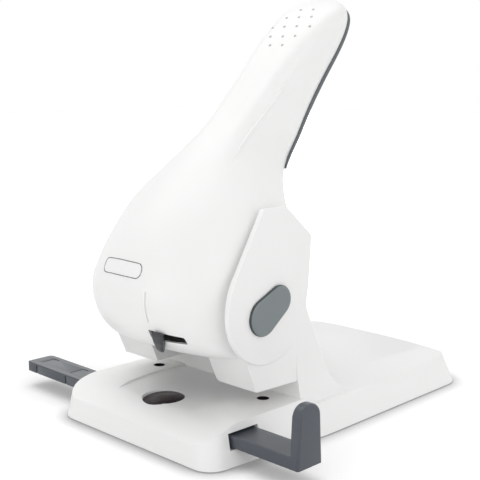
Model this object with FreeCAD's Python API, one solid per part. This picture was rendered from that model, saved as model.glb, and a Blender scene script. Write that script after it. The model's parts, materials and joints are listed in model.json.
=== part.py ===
"""Heavy-duty two-hole desk punch: base, side housings, lever with bulb shell, punch mechanism, paper guide.

Frame: origin on the desk midway between the two punch holes, +X across, -Y to the paper entry, +Z up.
All sizes are in millimetres.
"""
import FreeCAD, Part
import math
import os

# ---- driving dimensions -------------------------------------------------------------------------
hole_spacing = 80.0        # centre to centre of the two punched holes
hole_margin = 12.0         # hole centres to the back gauge, where the paper edge stops
pin_r = 2.9                # punch pin radius
die_fit = 0.05             # radial clearance of a pin in the die plate and in its bush
hole_relief = 0.35         # radial clearance of a pin in the moulded table
running_fit = 0.05         # radial clearance of a shaft in its bore
loose_gap = 0.3            # gap between neighbours that slide past each other

table_z = 20.0             # paper table above the desk
throat = 8.8               # height of the paper slot
shell_wall = 2.4           # moulded walls of the base
table_skin = 2.6           # thickness of the table
rim_z = 0.7                # lower edge of the base's rim; the tray's feet carry the load
dish_depth = 1.0           # finger recess in the middle of the table
dish_half_width = 32.5

base_front = -55.0         # base outline on the desk
base_rear = 151.0
front_half_width = 58.0    # at the front corners
rear_half_width = 64.3     # at the widest place, beside the punch
front_corner_r = 11.0
rear_corner_r = 16.0
side_lean = 2.8            # inward lean of the walls from the desk to the table: at the front corners,
waist_lean = 8.4           # at the widest place,
front_lean = 2.5           # at the front edge
rear_lean = 3.0            # and at the rear

cheek_x = 52.0             # outer face of the side housings
cheek_wall = 2.2
cheek_disc_y, cheek_disc_z, cheek_disc_r = -9.0, 69.6, 27.5   # round lower end of a cheek
cheek_bend_z = 76.0        # above this height a cheek leans inwards
cheek_lean = 0.121
cheek_top_z = 117.6
leg_inner_x = 22.7         # inner side of a leg, which guides a punch pin
leg_front_y = -11.5        # front edge of a leg over the paper slot
leg_top_z = 41.7           # seat of the punch frame
leg_slope = 0.795          # forward lean of a leg's front face per unit of height
leg_screen_z = 45.6        # a leg's front wall hides the frame plate
leg_wall = 2.2
fairing_half_width = 39.6  # hump of the deck between the housings

tray_floor_z = 0.5         # chip tray, a push-in floor of the base
tray_wall = 1.6
tray_rim_z = 7.0
foot_r, foot_sink = 6.0, 0.8
foot_places = ((-44.0, -38.0), (44.0, -38.0), (0.0, 0.0), (-44.0, 122.0), (44.0, 122.0))

screw_r = 1.5              # shank of the small screws
screw_head_r, screw_head = 2.8, 1.6
screw_play = 0.05
die_plate_thickness = 3.0
die_screw = (47.0, 0.0)
housing_screw = (46.0, 19.0)
housing_screw_r, housing_head_r, housing_head = 1.95, 3.4, 2.5
housing_seat_z = 10.0
retainer_thickness = 1.6
retainer_half_width = 30.0
retainer_screw_x = 20.0
frame_screw_x = 28.2
frame_screw_y = (-6.0, 8.0)
bracket_screw_x = 12.0

pivot_y, pivot_z = -12.0, 68.0
axle_r = 4.0
swing_deg = 54.0           # lever travel from rest to fully pressed
cam_arm = 14.2             # pivot to roller centre
roller_r = 5.0
roller_axle_r = 2.5
cam_gap = 0.25             # roller to press bar at rest
press_bar_thickness = 7.0
pin_neck_r = 2.5           # reduced end of a pin above its head
pin_head_r, pin_head = 5.2, 2.5
bush_r, bush_top_z = 4.3, 46.0
bush_flange_r, bush_flange = 6.4, 2.0
spring_wire_r = 0.55
spring_turns = 6
ear_x = 43.1               # inner face of the frame's ears
arm_x = 20.0               # inner face of the lever bracket's arms
hub_r = 8.0
clip_r, clip_thickness = 6.0, 0.8

lever_wall = 2.2
lever_half_width = 49.2
lever_disc_r = 21.2        # round lower end of the shell's side walls, round the pivot
lever_side_inner = 46.5    # the shell is open below and behind between its side walls
lever_open_z = 78.0
groove_depth = 0.6
grip_thickness = 1.8       # dark strip behind the handle
grip_pad = 1.4             # its pad stands into the shell,
grip_rim = 2.4             # this far inside the edge,
grip_play = 0.2            # with this gap

lock_x, lock_y = 18.0, -50.7         # place of the lock slider's neck on the skirt at rest
lock_angle = 20.9                    # turn of its path from +X
lock_travel = 11.0
lock_half_width = 2.7

bar_front, bar_rear = -39.0, -22.5   # paper guide bar
bar_bottom, bar_height = 9.5, 5.6
bar_left, bar_right = -112.5, 98.0
stop_thickness = 5.6
stop_top_z = 38.7
stop_edge_r = 1.2
format_marks = (-104.5, -76.2)

window_x, window_y, window_r = 0.5, -32.0, 11.0

sheet = 2.0                # steel sheet of the lever bracket and frame ears
frame_plate = 3.0
V = FreeCAD.Vector


# ---- shared construction -----------------------------------------------------------------------
def on_yz(x):
    """Places (y, z) outline points in the plane at this x."""
    return lambda a, b: V(x, a, b)


def on_xy(z):
    return lambda a, b: V(a, b, z)


def on_xz(y):
    return lambda a, b: V(a, y, b)


def rounded(corners, place):
    """Closed wire through corners (a, b, r): straight sides joined by tangent arcs of radius r."""
    starts, ends, arcs = [], [], []
    n = len(corners)
    for i in range(n):
        (pa, pb, _), (a, b, r), (na, nb, _) = corners[i - 1], corners[i], corners[(i + 1) % n]
        into, out = unit(a - pa, b - pb), unit(na - a, nb - b)
        turn = math.acos(max(-1.0, min(1.0, into[0] * out[0] + into[1] * out[1])))
        back = r * math.tan(turn / 2)
        first = (a - into[0] * back, b - into[1] * back)
        last = (a + out[0] * back, b + out[1] * back)
        starts.append(first)
        ends.append(last)
        sag = r / math.cos(turn / 2) - r
        middle = unit(out[0] - into[0], out[1] - into[1])
        arcs.append((a + middle[0] * sag, b + middle[1] * sag) if r > 0 else None)
    edges = []
    for i in range(n):
        if arcs[i]:
            edges.append(Part.Arc(place(*starts[i]), place(*arcs[i]), place(*ends[i])).toShape())
        p, q = place(*ends[i]), place(*starts[(i + 1) % n])
        if p.distanceToPoint(q) > 1e-6:
            edges.append(Part.LineSegment(p, q).toShape())
    return Part.Wire(edges)


def unit(a, b):
    length = math.hypot(a, b)
    return a / length, b / length


def belt(circles, place):
    """Closed wire of outer tangents round circles (a, b, r), taken in anticlockwise order."""
    edges = []
    touch = []
    n = len(circles)
    for i in range(n):
        (a1, b1, r1), (a2, b2, r2) = circles[i], circles[(i + 1) % n]
        along = math.atan2(b2 - b1, a2 - a1)
        lean = math.acos((r1 - r2) / math.hypot(a2 - a1, b2 - b1))
        angle = along - lean
        touch.append(((a1 + r1 * math.cos(angle), b1 + r1 * math.sin(angle)),
                      (a2 + r2 * math.cos(angle), b2 + r2 * math.sin(angle)), angle))
    for i in range(n):
        a, b, r = circles[i]
        start_angle, end_angle = touch[i - 1][2], touch[i][2]
        while end_angle < start_angle:
            end_angle += 2 * math.pi
        half = (start_angle + end_angle) / 2
        middle = (a + r * math.cos(half), b + r * math.sin(half))
        edges.append(Part.Arc(place(*touch[i - 1][1]), place(*middle), place(*touch[i][0])).toShape())
        edges.append(Part.LineSegment(place(*touch[i][0]), place(*touch[i][1])).toShape())
    return Part.Wire(edges)


def prism(wire, along):
    return Part.Face(wire).extrude(along)


def box(x0, x1, y0, y1, z0, z1):
    return Part.makeBox(x1 - x0, y1 - y0, z1 - z0, V(x0, y0, z0))


def cylinder(r, start, along):
    return Part.makeCylinder(r, along.Length, start, along)


def upright(r, x, y, z0, z1):
    """Vertical cylinder from z0 to z1."""
    return Part.makeCylinder(r, z1 - z0, V(x, y, z0))


def crosswise(r, x0, x1, y, z):
    """Cylinder along X from x0 to x1."""
    return Part.makeCylinder(r, x1 - x0, V(x0, y, z), V(1, 0, 0))


def mirrored(shape):
    return shape.mirror(V(0, 0, 0), V(1, 0, 0))


def both_sides(shape):
    """The shape and its mirror image as one group."""
    return Part.makeCompound([shape, mirrored(shape)])


def fuse(first, *others):
    return first.fuse(list(others)).removeSplitter()


def save(name, shape):
    solids = shape.Solids
    group = solids[0] if len(solids) == 1 else Part.makeCompound(solids)
    group.exportStep("parts/%s.step" % name)


# ---- base --------------------------------------------------------------------------------------
def base_outline(z, inset):
    """Plan outline of the base at height z, moved inwards by inset."""
    rise = z / table_z
    front = base_front + front_lean * rise + inset
    rear = base_rear - rear_lean * rise - inset
    narrow = front_half_width - side_lean * rise - inset
    wide = rear_half_width - waist_lean * rise - inset
    front_r, rear_r = front_corner_r - inset, rear_corner_r - inset
    widest_y = 2 * hole_margin
    return rounded([
        (-narrow, front, front_r), (narrow, front, front_r), (wide, widest_y, 150.0),
        (wide - 1.4, rear, rear_r), (1.4 - wide, rear, rear_r), (-wide, widest_y, 150.0)], on_xy(z))


def base_body(inset, drop):
    """Base form with its side walls moved in by inset and its top lowered by drop."""
    low, high = -1.0, table_z + 4.0
    form = Part.makeLoft([base_outline(low, inset), base_outline(high, inset)], True, True)
    top = table_z - drop
    reach = base_rear + 20.0
    nose = Part.Arc(V(0, base_front - 1.5 + inset, top - 10.5), V(0, -44.5 + inset, top - 2.7),
                    V(0, -27.0, top)).toShape()
    tail = Part.Arc(V(0, base_rear - 33, top + 2.0), V(0, base_rear - 11.5 - inset, top - 0.8),
                    V(0, base_rear - 1.0 - inset, top - 10.5)).toShape()
    points = [V(0, hole_margin + 14, top), V(0, hole_margin + 20, top + 2.0)]
    floor_front, floor_rear = V(0, base_front - 10, -2), V(0, reach, -2)
    start, end = nose.Vertexes[0].Point, tail.Vertexes[-1].Point
    edges = [Part.LineSegment(floor_front, V(0, base_front - 10, start.z)).toShape(),
             Part.LineSegment(V(0, base_front - 10, start.z), start).toShape(), nose,
             Part.LineSegment(nose.Vertexes[-1].Point, points[0]).toShape(),
             Part.LineSegment(points[0], points[1]).toShape(),
             Part.LineSegment(points[1], tail.Vertexes[0].Point).toShape(), tail,
             Part.LineSegment(end, V(0, reach, end.z)).toShape(),
             Part.LineSegment(V(0, reach, end.z), floor_rear).toShape(),
             Part.LineSegment(floor_rear, floor_front).toShape()]
    wide = rear_half_width + 20
    side_view = Part.Face(Part.Wire(edges)).extrude(V(2 * wide, 0, 0))
    side_view.translate(V(-wide, 0, 0))
    crown = Part.Arc(V(-wide, 0, top - 11.0), V(0, 0, top + 1.4), V(wide, 0, top - 11.0)).toShape()
    crown_wire = Part.Wire([crown, Part.LineSegment(V(wide, 0, top - 11.0), V(wide, 0, -2)).toShape(),
                            Part.LineSegment(V(wide, 0, -2), V(-wide, 0, -2)).toShape(),
                            Part.LineSegment(V(-wide, 0, -2), V(-wide, 0, top - 11.0)).toShape()])
    deck = Part.Face(crown_wire).extrude(V(0, reach, 0))
    deck.translate(V(0, hole_margin + 2, 0))
    front_part = box(-wide, wide, base_front - 5, hole_margin + 2, -2, table_z + 5)
    return form.common(side_view).common(front_part.fuse(deck))


def fairing(inset):
    """Hump of the deck between the side housings, which closes the back of the punch."""
    y0 = hole_margin
    half = fairing_half_width - inset
    outline = [(y0 + inset, table_z - 6, 0), (y0 + inset, leg_top_z - 2 - inset, 1.5),
               (y0 + 12, leg_top_z - 2 - inset, 5), (y0 + 38 - inset, table_z + 0.6 - inset, 0),
               (y0 + 38 - inset, table_z - 6, 0)]
    return prism(rounded(outline, on_yz(-half)), V(2 * half, 0, 0))


def bar_bottom_gap():
    """Height of the ribs' lower ends, where the retainer under the guide bar is screwed on."""
    return bar_bottom - loose_gap


def retainer_screw_places():
    """Middles of the four retainer screws, just outside the bar's guide ribs."""
    rows = (bar_front - loose_gap - 3.9, bar_rear + loose_gap + 3.9)
    return [(side * retainer_screw_x, y) for side in (-1, 1) for y in rows]


def bar_channel():
    """Ribs under the table that guide the bar, the bosses of its retainer and the frame round the lens."""
    under = table_z - table_skin + 0.5
    ribs = []
    for y0, y1 in ((bar_front - loose_gap - 1.8, bar_front - loose_gap),
                   (bar_rear + loose_gap, bar_rear + loose_gap + 1.8)):
        ribs.append(box(-46, 46, y0, y1, bar_bottom_gap(), under))
    for x in (-34, 34):
        ribs.append(box(x - 2, x + 2, bar_front - 1, bar_rear + 1,
                        bar_bottom + bar_height + loose_gap, under))
    bosses = [upright(2.8, x, y, bar_bottom_gap(), under) for x, y in retainer_screw_places()]
    lens_frame = upright(window_r + 2.6, window_x, window_y, bar_bottom + bar_height + loose_gap, under)
    return fuse(*ribs, *bosses, lens_frame)


def finger_dish():
    """Shallow recess of the table's middle, open to the front edge."""
    back, front = hole_margin, base_front - 1
    reach = dish_half_width
    side = Part.Arc(V(reach - 0.6, back, 0), V(reach - 0.4, -14.0, 0), V(19.5, front, 0)).toShape()
    other = Part.Arc(V(-19.5, front, 0), V(0.4 - reach, -14.0, 0), V(0.6 - reach, back, 0)).toShape()
    edges = [side, Part.LineSegment(V(19.5, front, 0), V(-19.5, front, 0)).toShape(), other,
             Part.LineSegment(V(0.6 - reach, back, 0), V(reach - 0.6, back, 0)).toShape()]
    dish = Part.Face(Part.Wire(edges)).extrude(V(0, 0, dish_depth + 5))
    dish.translate(V(0, 0, table_z - dish_depth))
    return dish


def base_shell():
    """Moulded base: table, deck, fairing between the housings, bar channel and bosses."""
    outer = base_body(0, 0).cut(box(-90, 90, -80, 180, -5, rim_z))
    body = outer.fuse(fairing(0)).cut(base_body(shell_wall, table_skin)).cut(fairing(leg_wall))
    slot = box(-80, 80, bar_front - 1.6, bar_rear + 1.2, bar_bottom - 1.2, bar_bottom + bar_height + 1.2)
    solid = body.cut(slot).fuse(bar_channel()).common(outer.fuse(fairing(0)))
    for side in (-1, 1):
        solid = solid.cut(upright(pin_r + hole_relief, side * hole_spacing / 2, 0, 10, table_z + 1))
        x, y = side * housing_screw[0], housing_screw[1]
        solid = solid.fuse(upright(4.5, x, y, 8.0, table_z - 3))
        solid = solid.cut(upright(housing_screw_r + screw_play, x, y, 0, table_z + 5))
        solid = solid.cut(upright(housing_head_r + 0.4, x, y, 0, housing_seat_z))
        solid = solid.cut(upright(screw_r + screw_play, side * die_screw[0], die_screw[1],
                                  10, die_screw_tip_z()))
    for x, y in retainer_screw_places():
        solid = solid.cut(upright(screw_r + screw_play, x, y, 5, retainer_screw_tip_z()))
    solid = solid.cut(finger_dish())
    solid = solid.cut(upright(window_r, window_x, window_y, 10, table_z + 2))
    solid = solid.cut(upright(window_r + 1.2, window_x, window_y, 10, window_seat_z()))
    return solid.removeSplitter()


def window_seat_z():
    """Underside of the ledge that the window's lens sits against."""
    return table_z - table_skin - 0.4


def window_lens():
    return upright(window_r + 1.1, window_x, window_y, window_seat_z() - 1.4, window_seat_z())


def chip_tray():
    """Push-in floor of the base, with a low rim wall and pockets for the feet."""
    inset = shell_wall + loose_gap + 0.15
    low, floor_top, rim = tray_floor_z, tray_floor_z + tray_wall, tray_rim_z
    tray = Part.makeLoft([base_outline(low, inset), base_outline(rim, inset)], True, True)
    inner = Part.makeLoft([base_outline(floor_top, inset + tray_wall),
                           base_outline(rim + 1, inset + tray_wall)], True, True)
    tray = tray.cut(inner)
    for x, y in foot_places:
        tray = tray.fuse(upright(foot_r + 1.3, x, y, floor_top - 0.5, floor_top + foot_sink))
        tray = tray.cut(upright(foot_r + 0.1, x, y, -1, low + foot_sink))
    return tray.removeSplitter()


def rubber_feet():
    return Part.makeCompound([upright(foot_r, x, y, 0, tray_floor_z + foot_sink) for x, y in foot_places])


def die_plate():
    """Steel plate under the table whose holes shear the paper against the pins."""
    top = table_z - table_skin
    plan = rounded([(-52, -9, 3), (52, -9, 3), (52, 9, 3), (-52, 9, 3)], on_xy(top - die_plate_thickness))
    plate = prism(plan, V(0, 0, die_plate_thickness))
    for side in (-1, 1):
        plate = plate.cut(upright(pin_r + die_fit, side * hole_spacing / 2, 0, 0, 30))
        plate = plate.cut(upright(screw_r + screw_play, side * die_screw[0], die_screw[1], 0, 30))
    return plate


def screw(x, y, seat, tip, r, head_r, head):
    """Pan-head screw whose head is below its seat when the tip is above it, and the other way round."""
    over = head if tip < seat else -head
    return upright_between(head_r, x, y, seat, seat + over).fuse(upright_between(r, x, y, seat, tip))


def upright_between(r, x, y, za, zb):
    return upright(r, x, y, min(za, zb), max(za, zb))


def small_screw(x, y, seat, tip):
    return screw(x, y, seat, tip, screw_r, screw_head_r, screw_head)


def die_screw_tip_z():
    return table_z - 1.1


def die_screws():
    seat = table_z - table_skin - die_plate_thickness
    return both_sides(small_screw(die_screw[0], die_screw[1], seat, die_screw_tip_z()))


def bar_retainer():
    """Plate screwed under the guide ribs, which the bar slides over."""
    top = bar_bottom_gap()
    rows = [y for x, y in retainer_screw_places()]
    y0, y1 = min(rows) - 3.2, max(rows) + 3.2
    w = retainer_half_width
    plate = prism(rounded([(-w, y0, 2), (w, y0, 2), (w, y1, 2), (-w, y1, 2)],
                          on_xy(top - retainer_thickness)), V(0, 0, retainer_thickness))
    for x, y in retainer_screw_places():
        plate = plate.cut(upright(screw_r + screw_play, x, y, 0, top + 1))
    return plate


def retainer_screw_tip_z():
    return bar_bottom + bar_height


def retainer_screws():
    seat = bar_bottom_gap() - retainer_thickness
    return Part.makeCompound([small_screw(x, y, seat, retainer_screw_tip_z())
                              for x, y in retainer_screw_places()])


# ---- side housings ------------------------------------------------------------------------------
def cheek_slab(outer, thickness):
    """Upright wall seen from the front: straight up to the bend, then leaning inwards."""
    lean = cheek_lean * (150.0 - cheek_bend_z)
    wire = rounded([(outer, 10.0, 0), (outer, cheek_bend_z, 60.0), (outer - lean, 150.0, 0),
                    (outer - lean - thickness, 150.0, 0), (outer - thickness, cheek_bend_z, 60.0),
                    (outer - thickness, 10.0, 0)], on_xz(-60))
    return prism(wire, V(0, 140, 0))


def cheek_region():
    """Side view of a cheek as a solid: round lower front end, straight front, sloped top, flared foot."""
    head = belt([(cheek_disc_y, cheek_disc_z, cheek_disc_r), (22.9, 100.4, 3.0),
                 (7.6, cheek_top_z - 4.0, 4.0), (-6.2, cheek_top_z - 2.7, 2.7)], on_yz(30))
    return prism(head, V(40, 0, 0)).fuse(foot_region())


def foot_region():
    """Side view of a housing's web and flared foot, behind the back gauge."""
    back = rounded([(hole_margin, 76.0, 0), (hole_margin, 10.0, 0), (60.0, 10.0, 0), (60.0, 15.8, 0),
                    (41.5, 15.8, 22.0), (19.1, 66.0, 14.0), (19.2, 76.0, 0)], on_yz(30))
    return prism(back, V(40, 0, 0))


def foot_flare():
    """Outer side of the foot, which sweeps out to the base's side wall."""
    low = cheek_x + 4.2
    sweep = Part.Arc(V(cheek_x, 0, 44.0), V(cheek_x + 0.9, 0, 29.0), V(cheek_x + 2.8, 0, table_z)).toShape()
    start, end = V(cheek_x, 0, 44.0), V(cheek_x + 2.8, 0, table_z)
    inner_low, inner_high = V(cheek_x - 4, 0, 10), V(cheek_x - 4, 0, 44.0)
    corner = V(low, 0, 10)
    wire = Part.Wire([sweep] + [Part.LineSegment(p, q).toShape() for p, q in (
        (end, corner), (corner, inner_low), (inner_low, inner_high), (inner_high, start))])
    flare = Part.Face(wire).extrude(V(0, 70, 0))
    flare.translate(V(0, hole_margin, 0))
    return flare.common(foot_region())


def leg_front(z):
    """Y of a leg's sloping front face at height z."""
    return leg_front_y - leg_slope * (z - table_z - throat)


def leg_plan(inset, z0, z1):
    """Plan of a leg as a solid: its outer side leans out to meet the cheek's face further back."""
    y1 = hole_margin + 2.3 - inset
    side = cheek_x - 1.8 - inset
    plan = [(leg_inner_x + inset, -40, 0), (side, -40, 0), (side, leg_front_y, 0), (cheek_x - inset, y1, 0),
            (leg_inner_x + inset, y1, 0)]
    return prism(rounded(plan, on_xy(z0)), V(0, 0, z1 - z0))


def leg_side_view(inset, top):
    z0 = table_z + throat + inset
    y1 = hole_margin + 2.3
    side = [(leg_front(z0) + inset, z0, 0), (y1, z0, 0), (y1, top, 0), (leg_front(top) + inset, top, 0)]
    return prism(rounded(side, on_yz(0)), V(60, 0, 0))


def side_housing_right():
    inner = cheek_x - cheek_wall
    y1 = hole_margin + 2.3
    cheek = cheek_slab(cheek_x, cheek_wall).common(cheek_region())
    rim = [e for e in cheek.Edges if on_outer_face(e) and e.BoundBox.ZMax > 44]
    cheek = cheek.makeFillet(0.8, rim)
    leg = leg_side_view(0, leg_top_z).common(leg_plan(0, 20, 60))
    corner = [e for e in leg.Edges if abs(e.BoundBox.XMax - leg_inner_x) < 1e-6
              and e.BoundBox.ZMax < table_z + throat + 0.1]
    leg = leg.makeFillet(2.0, corner)
    hollow = leg_side_view(leg_wall, leg_top_z + 5).common(leg_plan(leg_wall, 20, 60))
    leg = leg.cut(hollow)
    screen = leg_side_view(0, leg_screen_z).cut(leg_side_view(leg_wall, leg_screen_z + 5))
    screen = screen.common(leg_plan(0, leg_top_z - 1, 60)).common(box(0, 60, -40, -18.5, 0, 60))
    skin = leg_plan(0, leg_top_z - 5, 56.0).common(box(inner, 60, leg_front_y, y1, 0, 60))
    gauge = box(leg_inner_x, inner, hole_margin, y1, table_z - 2, table_z + throat + 1)
    foot = box(fairing_half_width + 0.2, inner, hole_margin, hole_margin + 14, table_z - 4, 36.0)
    body = fuse(leg, cheek, screen, skin, gauge, foot, foot_flare())
    for y in frame_screw_y:
        post = upright(3.0, frame_screw_x, y, table_z + throat + 1, leg_top_z)
        pilot = upright(screw_r + screw_play, frame_screw_x, y, leg_top_z - 8, leg_top_z + 1)
        body = body.fuse(post).cut(pilot)
    body = body.cut(upright(bush_r, hole_spacing / 2, 0, table_z + throat - 1, leg_top_z + 5))
    body = body.cut(upright(housing_screw_r + screw_play, housing_screw[0], housing_screw[1],
                            0, housing_tip_z()))
    body = body.cut(crosswise(axle_r, cheek_x - 5, cheek_x + 5, pivot_y, pivot_z))
    return body.cut(base_body(0, 0)).cut(fairing(-0.1)).removeSplitter()


def on_outer_face(edge):
    """Whether an edge lies on the cheek's outer face."""
    for vertex in edge.Vertexes:
        lean = max(0.0, vertex.Z - cheek_bend_z) * cheek_lean
        if vertex.X < cheek_x - lean - cheek_wall / 2:
            return False
    return True


def housing_tip_z():
    return table_z + throat + 3.2


def housing_screws():
    return both_sides(screw(housing_screw[0], housing_screw[1], housing_seat_z, housing_tip_z(),
                            housing_screw_r, housing_head_r, housing_head))


def oval_cap_right():
    """Domed cap over the axle end."""
    face = belt([(-13.2, 66.4, 9.3), (-2.0, 73.0, 7.7)], on_yz(cheek_x))
    cap = prism(face, V(3.6, 0, 0))
    rim = [e for e in cap.Edges if all(abs(v.X - cheek_x - 3.6) < 1e-6 for v in e.Vertexes)]
    cap = cap.makeFillet(2.2, rim)
    return cap.cut(crosswise(axle_r + loose_gap, cheek_x - 1, cheek_x + 1.2, pivot_y, pivot_z))


# ---- punch mechanism ------------------------------------------------------------------------------
def rest_roller():
    """Centre of the roller at rest, (y, z)."""
    half = math.radians(swing_deg / 2)
    return pivot_y + cam_arm * math.cos(half), pivot_z + cam_arm * math.sin(half)


def punch_travel():
    return 2 * cam_arm * math.sin(math.radians(swing_deg / 2))


def press_bar_top():
    return rest_roller()[1] - roller_r - cam_gap


def press_bar():
    top = press_bar_top()
    half = ear_x - 0.4
    under = top - press_bar_thickness
    plan = rounded([(-half, -3, 1.5), (half, -3, 1.5), (half, 7, 1.5), (-half, 7, 1.5)], on_xy(under))
    bar = prism(plan, V(0, 0, press_bar_thickness))
    for side in (-1, 1):
        bar = bar.cut(upright(pin_neck_r, side * hole_spacing / 2, 0, under - 1, top + 1))
    return bar


def pin_tip_z():
    """Lower end of the punch pins at rest, above the paper slot."""
    return table_z + throat + 0.5


def punch_pin_right():
    x = hole_spacing / 2
    tip = pin_tip_z()
    under = press_bar_top() - press_bar_thickness
    pin = fuse(upright(pin_r, x, 0, tip, under), upright(pin_head_r, x, 0, under - pin_head, under),
               upright(pin_neck_r, x, 0, under - 0.5, press_bar_top() + 2 * clip_thickness))
    groove = Part.makeCylinder(5.5, 20, V(x - 10, 0, tip - 4.2), V(1, 0, 0))
    return pin.cut(groove)


def guide_bush_right():
    x = hole_spacing / 2
    z0 = table_z + throat
    seat = z0 + leg_wall
    bush = fuse(upright(bush_r, x, 0, z0, bush_top_z), upright(bush_flange_r, x, 0, seat, seat + bush_flange))
    return bush.cut(upright(pin_r + running_fit, x, 0, z0 - 1, bush_top_z + 1))


def return_spring_right():
    x = hole_spacing / 2
    z0 = table_z + throat + leg_wall + bush_flange
    z1 = press_bar_top() - press_bar_thickness - pin_head
    mean = bush_r + 0.35 + spring_wire_r
    height = z1 - z0 - 2 * spring_wire_r - 0.1
    helix = Part.makeHelix(height / spring_turns, height, mean)
    corners = [(mean + spring_wire_r * math.cos(k * math.pi / 3),
                spring_wire_r * math.sin(k * math.pi / 3), 0) for k in range(6)]
    wire = rounded(corners, on_xz(0))
    coil = Part.Wire(helix.Edges).makePipeShell([wire], True, True)
    coil.translate(V(x, 0, z0 + spring_wire_r + 0.05))
    return coil


def punch_frame():
    """Folded steel frame: a cross plate on the legs and two ears for the axle."""
    x1 = ear_x + sheet
    plan = rounded([(-x1, -15.5, 2), (x1, -15.5, 2), (x1, 12.6, 2), (-x1, 12.6, 2)], on_xy(leg_top_z))
    plate = prism(plan, V(0, 0, frame_plate))
    parts = []
    for side in (-1, 1):
        x = side * hole_spacing / 2
        plate = plate.cut(upright(6.6, x, 0, leg_top_z - 1, leg_top_z + 5))
        for y in frame_screw_y:
            plate = plate.cut(upright(1.7, side * frame_screw_x, y, leg_top_z - 1, leg_top_z + 5))
        ear = prism(belt([(-13.5, leg_top_z + 2, 2), (-8.6, leg_top_z + 2, 2), (pivot_y, pivot_z, hub_r)],
                         on_yz(ear_x)), V(sheet, 0, 0))
        parts.append(ear if side > 0 else mirrored(ear))
    frame = fuse(plate, *parts)
    return frame.cut(crosswise(axle_r + running_fit, -60, 60, pivot_y, pivot_z))


def pivot_axle():
    return crosswise(axle_r, -cheek_x - 1.0, cheek_x + 1.0, pivot_y, pivot_z)


def ring(outer, inner, x0, x1, y, z):
    return crosswise(outer, x0, x1, y, z).cut(crosswise(inner, x0 - 1, x1 + 1, y, z))


def axle_clips():
    x0 = arm_x + sheet + loose_gap
    return both_sides(ring(clip_r, axle_r, x0, x0 + clip_thickness, pivot_y, pivot_z))


def pin_clips():
    """Clips that hold the press bar down on the pins' heads."""
    top = press_bar_top()
    x = hole_spacing / 2
    return both_sides(upright(4.5, x, 0, top, top + clip_thickness).cut(
        upright(pin_neck_r, x, 0, top - 1, top + 2)))


def frame_screws():
    seat = leg_top_z + frame_plate
    return Part.makeCompound([small_screw(side * frame_screw_x, y, seat, leg_top_z - 7.5)
                              for side in (-1, 1) for y in frame_screw_y])


# ---- lever ------------------------------------------------------------------------------------
# Stations of the lever from the skirt to the handle's tip: front point (y, z), rear point (y, z),
# half width, widest place as a share of the way back, squareness in front and behind, how much
# narrower the front face is, and how deep it is dished.
lever_form = [
    (-35.5, 46.5, 8.0, 46.5, 48.9, 0.54, 2.3, 4.5, 0.00, 0.0),
    (-46.5, 51.5, 12.0, 49.0, 49.1, 0.60, 2.25, 4.5, 0.00, 0.0),
    (-55.5, 60.5, 16.0, 55.0, 49.1, 0.62, 2.2, 4.5, 0.00, 0.0),
    (-60.7, 75.0, 18.0, 66.0, 49.1, 0.66, 2.2, 4.5, 0.00, 0.0),
    (-57.0, 91.5, 21.0, 80.0, 48.3, 0.66, 2.15, 4.5, 0.00, 0.0),
    (-47.5, 106.5, 25.0, 93.0, 46.6, 0.66, 2.1, 4.0, 0.00, 0.0),
    (-34.5, 120.0, 30.0, 104.0, 44.2, 0.64, 2.2, 2.8, 0.00, 0.0),
    (-21.0, 132.5, 34.5, 113.5, 37.5, 0.62, 2.3, 2.1, 0.05, 0.0),
    (-8.0, 143.5, 36.5, 122.5, 30.0, 0.62, 2.5, 2.5, 0.12, 0.6),
    (5.5, 154.0, 39.0, 132.0, 21.8, 0.64, 2.9, 6.0, 0.06, 1.6),
    (20.5, 167.0, 46.0, 145.5, 21.3, 0.64, 3.6, 8.0, 0.19, 1.8),
    (38.0, 184.0, 58.5, 163.5, 20.1, 0.60, 4.2, 8.0, 0.16, 1.2),
    (55.0, 200.0, 73.0, 183.5, 20.6, 0.56, 4.2, 8.0, 0.07, 0.5),
    (69.0, 211.0, 83.5, 197.5, 20.8, 0.55, 4.0, 8.0, 0.02, 0.0),
    (79.5, 217.5, 89.5, 209.0, 20.3, 0.50, 3.2, 6.0, 0.04, 0.0),
    (87.0, 221.0, 93.5, 215.5, 15.0, 0.50, 2.6, 4.0, 0.00, 0.0),
    (92.0, 222.0, 95.0, 219.5, 5.0, 0.50, 2.2, 2.2, 0.00, 0.0)]
handle_form = lever_form[9:]
ring_points, inner_ring_points = 36, 24
ring_trace = 720           # steps in which a section is traced before its points are spaced evenly


def lever_ring(station, inset):
    """Closed smooth section of the lever, drawn inwards by inset."""
    trace = [section_point(station, inset, 2 * math.pi * i / ring_trace) for i in range(ring_trace + 1)]
    walked = [0.0]
    for p, q in zip(trace, trace[1:]):
        walked.append(walked[-1] + p.distanceToPoint(q))
    count = inner_ring_points if inset else ring_points
    points = []
    for k in range(count):
        goal = walked[-1] * k / count
        i = next(i for i in range(ring_trace) if walked[i + 1] > goal)
        share = (goal - walked[i]) / (walked[i + 1] - walked[i])
        points.append(trace[i] + (trace[i + 1] - trace[i]) * share)
    curve = Part.BSplineCurve()
    curve.interpolate(Points=points, PeriodicFlag=True, Parameters=[10.0 * k for k in range(count + 1)])
    return Part.Wire([curve.toShape()])


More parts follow.
